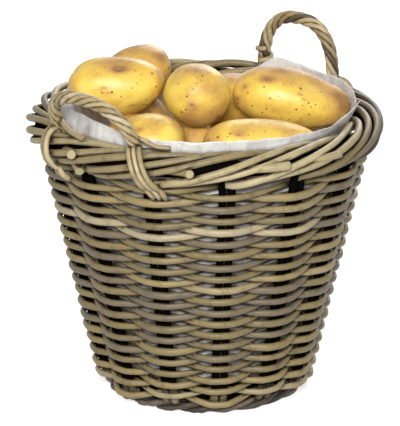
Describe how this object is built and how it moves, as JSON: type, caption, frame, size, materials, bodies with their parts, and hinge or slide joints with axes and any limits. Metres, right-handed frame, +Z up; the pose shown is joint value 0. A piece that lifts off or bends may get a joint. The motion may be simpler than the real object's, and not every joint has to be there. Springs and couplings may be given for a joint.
{
  "type": "potato basket",
  "caption": "Round tapered basket woven from rattan rods, with a rolled border, two roped ear handles, a thin liner and a heap of potatoes.",
  "frame": {"origin": "on the basket's axis, on the floor it stands on", "axes": "+Z up along the basket's axis, +X towards the upright handle, +Y to its left seen from above"},
  "size_m": [0.3826, 0.3795, 0.38],
  "materials": {
    "rattan_stake": "matt grey-brown rattan",
    "rattan_weaver": "satin grey-beige rattan",
    "rattan_foot": "matt dark rattan",
    "rattan_rope": "satin pale rattan",
    "liner": "thin translucent sheet",
    "potato": "washed yellow skin"
  },
  "bodies": {
    "basket": {"foot_rod_1": "rattan_foot", "foot_rod_2": "rattan_foot", "foot_rod_3": "rattan_foot", "stake_pair_01": "rattan_stake", "stake_pair_02": "rattan_stake", "stake_pair_03": "rattan_stake", "stake_pair_04": "rattan_stake", "stake_pair_05": "rattan_stake", "stake_pair_06": "rattan_stake", "stake_pair_07": "rattan_stake", "stake_pair_08": "rattan_stake", "stake_pair_09": "rattan_stake", "stake_pair_10": "rattan_stake", "stake_pair_11": "rattan_stake", "stake_pair_12": "rattan_stake", "stake_pair_13": "rattan_stake", "weaver_1": "rattan_weaver", "weaver_2": "rattan_weaver", "weaver_3": "rattan_weaver", "weaver_4": "rattan_weaver", "weaver_5": "rattan_weaver", "weaver_6": "rattan_weaver", "base_sticks": "rattan_stake", "base_rounds": "rattan_weaver", "back_handle": "rattan_rope", "back_handle_lash_1": "rattan_rope", "back_handle_lash_2": "rattan_rope", "front_handle": "rattan_rope", "front_handle_lash_1": "rattan_rope", "front_handle_lash_2": "rattan_rope"},
    "liner": {"liner": "liner", "potato_under_01": "potato", "potato_under_02": "potato", "potato_under_03": "potato", "potato_under_04": "potato", "potato_under_05": "potato", "potato_under_06": "potato", "potato_under_07": "potato", "potato_under_08": "potato", "potato_under_09": "potato", "potato_under_10": "potato", "potato_under_11": "potato", "potato_under_12": "potato", "potato_under_13": "potato", "potato_under_14": "potato", "potato_under_15": "potato", "potato_under_16": "potato", "potato_under_17": "potato", "potato_far_left": "potato", "potato_far_back": "potato", "potato_far_right": "potato"},
    "potato_front_left": {"potato_front_left": "potato"},
    "potato_front_right": {"potato_front_right": "potato"},
    "potato_back_middle": {"potato_back_middle": "potato"},
    "potato_right": {"potato_right": "potato"},
    "potato_middle": {"potato_middle": "potato"},
    "potato_left": {"potato_left": "potato"},
    "potato_back_left": {"potato_back_left": "potato"}
  },
  "joints": [
    {"name": "liner_lift", "type": "slide", "parent": "basket", "child": "liner", "axis": [0, 0, 1], "range_m": [0, 0.35]},
    {"name": "front_left_potato_lift", "type": "slide", "parent": "liner", "child": "potato_front_left", "axis": [0, 0, 1], "range_m": [0, 0.15]},
    {"name": "front_right_potato_lift", "type": "slide", "parent": "liner", "child": "potato_front_right", "axis": [0, 0, 1], "range_m": [0, 0.15]},
    {"name": "back_middle_potato_lift", "type": "slide", "parent": "liner", "child": "potato_back_middle", "axis": [0, 0, 1], "range_m": [0, 0.15]},
    {"name": "right_potato_lift", "type": "slide", "parent": "liner", "child": "potato_right", "axis": [0, 0, 1], "range_m": [0, 0.15]},
    {"name": "middle_potato_lift", "type": "slide", "parent": "liner", "child": "potato_middle", "axis": [0, 0, 1], "range_m": [0, 0.15]},
    {"name": "left_potato_lift", "type": "slide", "parent": "liner", "child": "potato_left", "axis": [0, 0, 1], "range_m": [0, 0.15]},
    {"name": "back_left_potato_lift", "type": "slide", "parent": "liner", "child": "potato_back_left", "axis": [0, 0, 1], "range_m": [0, 0.15]}
  ]
}
